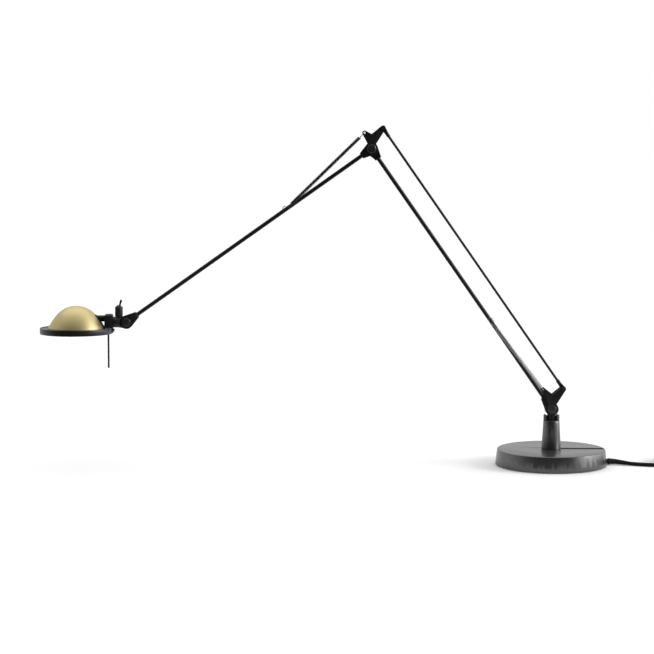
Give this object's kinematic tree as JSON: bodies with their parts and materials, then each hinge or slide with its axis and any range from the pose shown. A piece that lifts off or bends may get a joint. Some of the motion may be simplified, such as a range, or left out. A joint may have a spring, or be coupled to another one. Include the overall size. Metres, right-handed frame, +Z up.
{
  "type": "balanced-arm desk lamp",
  "caption": "Desk lamp with a round weighted base, two thin spring-balanced arms in a parallel linkage, and a small domed reflector in a wide flat ring.",
  "frame": {"origin": "centre of the base's underside, on the surface the lamp stands on", "axes": "+Z up, the arms lie in the XZ plane and reach towards -X, the mains lead leaves towards +X"},
  "size_m": [1.0279, 0.1791, 0.5018],
  "materials": {
    "gunmetal": "satin",
    "black_plastic": "matte",
    "washer_plastic": "matte",
    "ballast": "rough",
    "zinc_steel": "satin",
    "foot_rubber": "matte",
    "black_metal": "satin",
    "arm_metal": "satin",
    "pivot_metal": "satin",
    "spring_steel": "bright",
    "cord_sheath": "satin",
    "plug_brass": "bright",
    "gold": "satin",
    "reflector_aluminium": "bright",
    "ring_plastic": "satin",
    "lever_plastic": "gloss",
    "ceramic": "matte",
    "bulb_glass": "clear",
    "bulb_wire": "bright"
  },
  "bodies": {
    "base": {"base_cover": "gunmetal", "groove_liner": "black_plastic", "ballast_plate": "ballast", "converter_case": "black_plastic", "terminal_block": "black_plastic", "base_plate": "zinc_steel", "foot_pad": "foot_rubber", "base_plate_screws": "zinc_steel", "stem": "gunmetal", "stem_nut": "zinc_steel", "swivel_bush": "black_plastic", "cord_gland": "black_plastic", "cord_lead": "cord_sheath", "cord_coil": "cord_sheath", "plug_body": "cord_sheath", "plug_pins": "plug_brass"},
    "swivel": {"swivel_yoke": "black_metal", "retaining_clip": "zinc_steel", "base_pivot_pin": "pivot_metal", "base_pivot_caps": "pivot_metal", "yoke_tie_pin": "pivot_metal"},
    "lower_arm": {"lower_tube": "arm_metal", "lower_base_fitting": "black_metal", "lower_elbow_fitting": "black_metal", "lower_spring_stud": "pivot_metal", "base_friction_washers": "washer_plastic"},
    "tie_rod": {"tie_rod": "arm_metal", "tie_rod_ends": "black_metal"},
    "lower_spring": {"lower_spring": "spring_steel"},
    "lower_spring_tail": {"lower_spring_loop": "spring_steel"},
    "elbow_link": {"front_link_plate": "black_metal", "rear_link_plate": "black_metal", "elbow_pin": "pivot_metal", "elbow_caps": "pivot_metal", "elbow_tie_pin": "pivot_metal"},
    "upper_arm": {"upper_tube": "arm_metal", "upper_elbow_fork": "black_metal", "upper_wrist_fork": "black_metal", "upper_spring_stud": "pivot_metal", "elbow_friction_washers": "washer_plastic", "wrist_pin": "pivot_metal", "wrist_caps": "pivot_metal"},
    "upper_spring": {"upper_spring": "spring_steel"},
    "upper_spring_tail": {"upper_spring_loop": "spring_steel"},
    "head": {"head_body": "black_plastic", "wrist_friction_washers": "washer_plastic", "switch_body": "black_plastic"},
    "switch": {"switch_lever": "lever_plastic"},
    "reflector": {"holder_block": "black_plastic", "roll_shaft": "zinc_steel", "lamp_tube": "arm_metal", "dome": "gold", "inner_reflector": "reflector_aluminium", "shade_ring": "ring_plastic", "ring_screw": "zinc_steel", "handle_rod": "arm_metal", "dome_strap": "black_plastic", "lamp_holder": "ceramic", "bulb": "bulb_glass", "bulb_pins": "bulb_wire"}
  },
  "joints": [
    {"name": "base_swivel", "type": "hinge", "parent": "base", "child": "swivel", "pos_m": [0, 0, 0.07], "axis": [0, 0, 1], "range_deg": [-170, 170]},
    {"name": "lower_arm_tilt", "type": "hinge", "parent": "swivel", "child": "lower_arm", "pos_m": [0, 0, 0.084], "axis": [0, 1, 0], "range_deg": [-35, 22]},
    {"name": "tie_rod_swing", "type": "hinge", "parent": "swivel", "child": "tie_rod", "pos_m": [0.01673, 0, 0.11417], "axis": [0, 1, 0], "range_deg": [-36, 23]},
    {"name": "lower_spring_swing", "type": "hinge", "parent": "swivel", "child": "lower_spring", "pos_m": [-0.01286, 0, 0.11221], "axis": [0, 1, 0], "range_deg": [-43, 27.5]},
    {"name": "lower_spring_stretch", "type": "slide", "parent": "lower_spring", "child": "lower_spring_tail", "axis": [-0.6076, 0, 0.7942], "range_m": [-0.0039, 0.0062], "deforming": ["lower_spring"]},
    {"name": "elbow_link_level", "type": "hinge", "parent": "lower_arm", "child": "elbow_link", "pos_m": [-0.26776, 0, 0.46783], "axis": [0, 1, 0], "range_deg": [-23, 36]},
    {"name": "elbow_tilt", "type": "hinge", "parent": "elbow_link", "child": "upper_arm", "pos_m": [-0.26776, 0, 0.46783], "axis": [0, 1, 0], "range_deg": [-22, 35]},
    {"name": "upper_spring_swing", "type": "hinge", "parent": "elbow_link", "child": "upper_spring", "pos_m": [-0.27814, 0, 0.49113], "axis": [0, 1, 0], "range_deg": [-22, 34.5]},
    {"name": "upper_spring_stretch", "type": "slide", "parent": "upper_spring", "child": "upper_spring_tail", "axis": [-0.7176, 0, -0.6965], "range_m": [-0.015, 0.0097], "deforming": ["upper_spring"]},
    {"name": "wrist_tilt", "type": "hinge", "parent": "upper_arm", "child": "head", "pos_m": [-0.62894, 0, 0.21305], "axis": [0, 1, 0], "range_deg": [-60, 40]},
    {"name": "head_roll", "type": "hinge", "parent": "head", "child": "reflector", "pos_m": [-0.64884, 0, 0.21305], "axis": [1, 0, 0], "range_deg": [-90, 90]},
    {"name": "switch_toggle", "type": "hinge", "parent": "head", "child": "switch", "pos_m": [-0.64014, 0, 0.23345], "axis": [0, 1, 0], "range_deg": [-32, 0]}
  ],
  "couplings": [
    {"joint": "tie_rod_swing", "follows": "lower_arm_tilt", "ratio": 1},
    {"joint": "elbow_link_level", "follows": "lower_arm_tilt", "ratio": -1},
    {"joint": "lower_spring_swing", "follows": "lower_arm_tilt", "ratio": 1.212},
    {"joint": "lower_spring_stretch", "follows": "lower_arm_tilt", "m_per_rad": -0.009396},
    {"joint": "upper_spring_swing", "follows": "elbow_tilt", "ratio": 0.96},
    {"joint": "upper_spring_stretch", "follows": "elbow_tilt", "m_per_rad": -0.02374}
  ]
}
